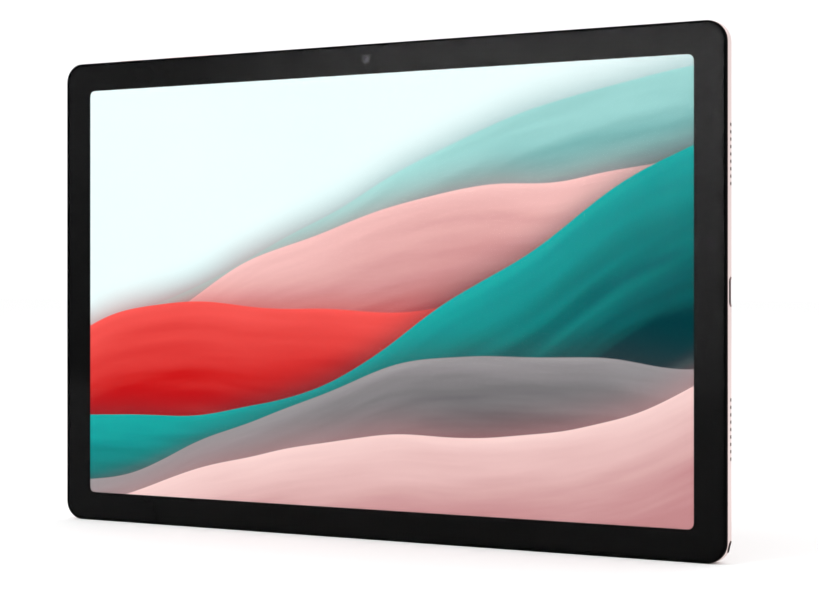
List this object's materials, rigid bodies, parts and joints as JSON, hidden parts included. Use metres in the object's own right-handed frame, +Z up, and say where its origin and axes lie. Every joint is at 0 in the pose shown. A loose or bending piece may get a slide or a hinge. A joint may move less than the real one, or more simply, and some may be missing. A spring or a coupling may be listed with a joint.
{
  "type": "tablet computer",
  "caption": "Thin flat tablet computer with a wide glass screen in an even black border, a pink metal shell, side speakers, charging and headphone sockets, keys and a card tray.",
  "frame": {"origin": "middle of the lower long edge, at half the housing's thickness, where a stand or a cover's groove holds the upright tablet", "axes": "+X along the long side, to the right when facing the screen; +Y from the screen to the back; +Z up, with the tablet held landscape"},
  "size_m": [0.2468, 0.0078, 0.1623],
  "materials": {
    "cover_glass": "polished, oil-resistant coating",
    "black_print": "black printed border",
    "sensor_window": "dark infrared-passing ink",
    "tape": "black foam tape",
    "lcd_cell": "lit picture under a polariser",
    "chip_epoxy": "black moulded epoxy",
    "flex_circuit": "amber polyimide",
    "optical_film": "milky film",
    "light_guide": "clear acrylic with fine dots",
    "reflector": "silvered film",
    "led": "white package, yellow phosphor",
    "pan_steel": "bright rolled sheet",
    "black_frame": "satin-gloss black moulding",
    "plate_aluminium": "stamped, bead blasted",
    "pink_aluminium": "fine blasted, pink anodised",
    "pink_inlay": "satin moulded plastic",
    "camera_black": "matt black",
    "lens_glass": "coated lens",
    "sensor_package": "dark moulded package",
    "camera_ring": "turned and polished, pink anodised",
    "camera_window": "tinted glass",
    "circuit_board": "dark green solder mask",
    "can_steel": "tinned, satin",
    "connector_plastic": "black moulding",
    "steel": "satin stainless",
    "dark_polymer": "glass-filled nylon",
    "graphite": "grey metallic sheen",
    "battery_pouch": "grey laminate foil",
    "pull_tape": "white stretch tape",
    "speaker_plastic": "matt black moulding",
    "magnet": "nickel plate",
    "diaphragm": "pressed polymer film",
    "dust_screen": "fine woven mesh",
    "gold_contact": "gold plate",
    "dome_steel": "sprung stainless",
    "screw_steel": "dark zinc",
    "cable_jacket": "black jacket"
  },
  "bodies": {
    "housing": {"cover_glass": "cover_glass", "bezel_print": "black_print", "sensor_windows": "sensor_window", "display_tape": "tape", "lcd_cell": "lcd_cell", "display_driver": "chip_epoxy", "display_flex": "flex_circuit", "diffuser_films": "optical_film", "light_guide": "light_guide", "reflector_sheet": "reflector", "backlight_leds": "led", "backlight_pan": "pan_steel", "mid_frame": "black_frame", "mid_plate": "plate_aluminium", "rear_cover": "pink_aluminium", "antenna_inlay": "pink_inlay", "front_camera_body": "camera_black", "front_camera_lens": "lens_glass", "light_sensors": "sensor_package", "rear_camera_body": "camera_black", "rear_camera_lens": "lens_glass", "rear_camera_ring": "camera_ring", "rear_camera_window": "camera_window", "main_board": "circuit_board", "shield_cans": "can_steel", "board_chips": "chip_epoxy", "board_connectors": "connector_plastic", "usb_board": "circuit_board", "usb_socket": "steel", "usb_tongue": "dark_polymer", "link_flex": "flex_circuit", "heat_sheet": "graphite", "battery_cells": "battery_pouch", "battery_board": "circuit_board", "battery_tape": "pull_tape", "speaker_boxes": "speaker_plastic", "speaker_magnets": "magnet", "speaker_screens": "dust_screen", "audio_jack_body": "dark_polymer", "audio_jack_contacts": "gold_contact", "microphone": "can_steel", "key_bracket": "steel", "key_flex": "flex_circuit", "power_switch": "dome_steel", "volume_up_switch": "dome_steel", "volume_down_switch": "dome_steel", "card_socket": "steel", "antennas": "dark_polymer", "antenna_cable": "cable_jacket", "board_screws": "screw_steel"},
    "power_key": {"power_key": "pink_aluminium"},
    "volume_key": {"volume_key": "pink_aluminium"},
    "card_tray": {"card_tray": "pink_aluminium"},
    "eject_rod": {"eject_rod": "steel"},
    "eject_lever": {"eject_lever": "steel"},
    "diaphragm_left_lower": {"speaker_diaphragm_left_lower": "diaphragm"},
    "diaphragm_left_upper": {"speaker_diaphragm_left_upper": "diaphragm"},
    "diaphragm_right_lower": {"speaker_diaphragm_right_lower": "diaphragm"},
    "diaphragm_right_upper": {"speaker_diaphragm_right_upper": "diaphragm"}
  },
  "joints": [
    {"name": "power_press", "type": "slide", "parent": "housing", "child": "power_key", "axis": [0, 0, -1], "range_m": [0, 0.00025], "stiffness_N_per_m": 3000, "springref_m": -0.0001, "deforming": ["power_switch"]},
    {"name": "volume_rock", "type": "hinge", "parent": "housing", "child": "volume_key", "pos_m": [-0.0724, 0.0009, 0.15968], "axis": [0, 1, 0], "range_deg": [-1.2, 1.2], "stiffness_Nm_per_rad": 0.3, "deforming": ["volume_up_switch", "volume_down_switch"]},
    {"name": "tray_slide", "type": "slide", "parent": "housing", "child": "card_tray", "axis": [0, 0, 1], "range_m": [0, 0.024]},
    {"name": "eject_push", "type": "slide", "parent": "housing", "child": "eject_rod", "axis": [0, 0, -1], "range_m": [0, 0.0012]},
    {"name": "lever_turn", "type": "hinge", "parent": "housing", "child": "eject_lever", "pos_m": [0.0874, 0.00102, 0.1378], "axis": [0, -1, 0], "range_deg": [0, 8.7]},
    {"name": "left_lower_cone_travel", "type": "slide", "parent": "housing", "child": "diaphragm_left_lower", "axis": [0, 1, 0], "range_m": [-0.0002, 0.0002], "stiffness_N_per_m": 1200},
    {"name": "left_upper_cone_travel", "type": "slide", "parent": "housing", "child": "diaphragm_left_upper", "axis": [0, 1, 0], "range_m": [-0.0002, 0.0002], "stiffness_N_per_m": 1200},
    {"name": "right_lower_cone_travel", "type": "slide", "parent": "housing", "child": "diaphragm_right_lower", "axis": [0, 1, 0], "range_m": [-0.0002, 0.0002], "stiffness_N_per_m": 1200},
    {"name": "right_upper_cone_travel", "type": "slide", "parent": "housing", "child": "diaphragm_right_upper", "axis": [0, 1, 0], "range_m": [-0.0002, 0.0002], "stiffness_N_per_m": 1200}
  ],
  "couplings": [
    {"joint": "lever_turn", "follows": "eject_push", "rad_per_m": 125}
  ]
}
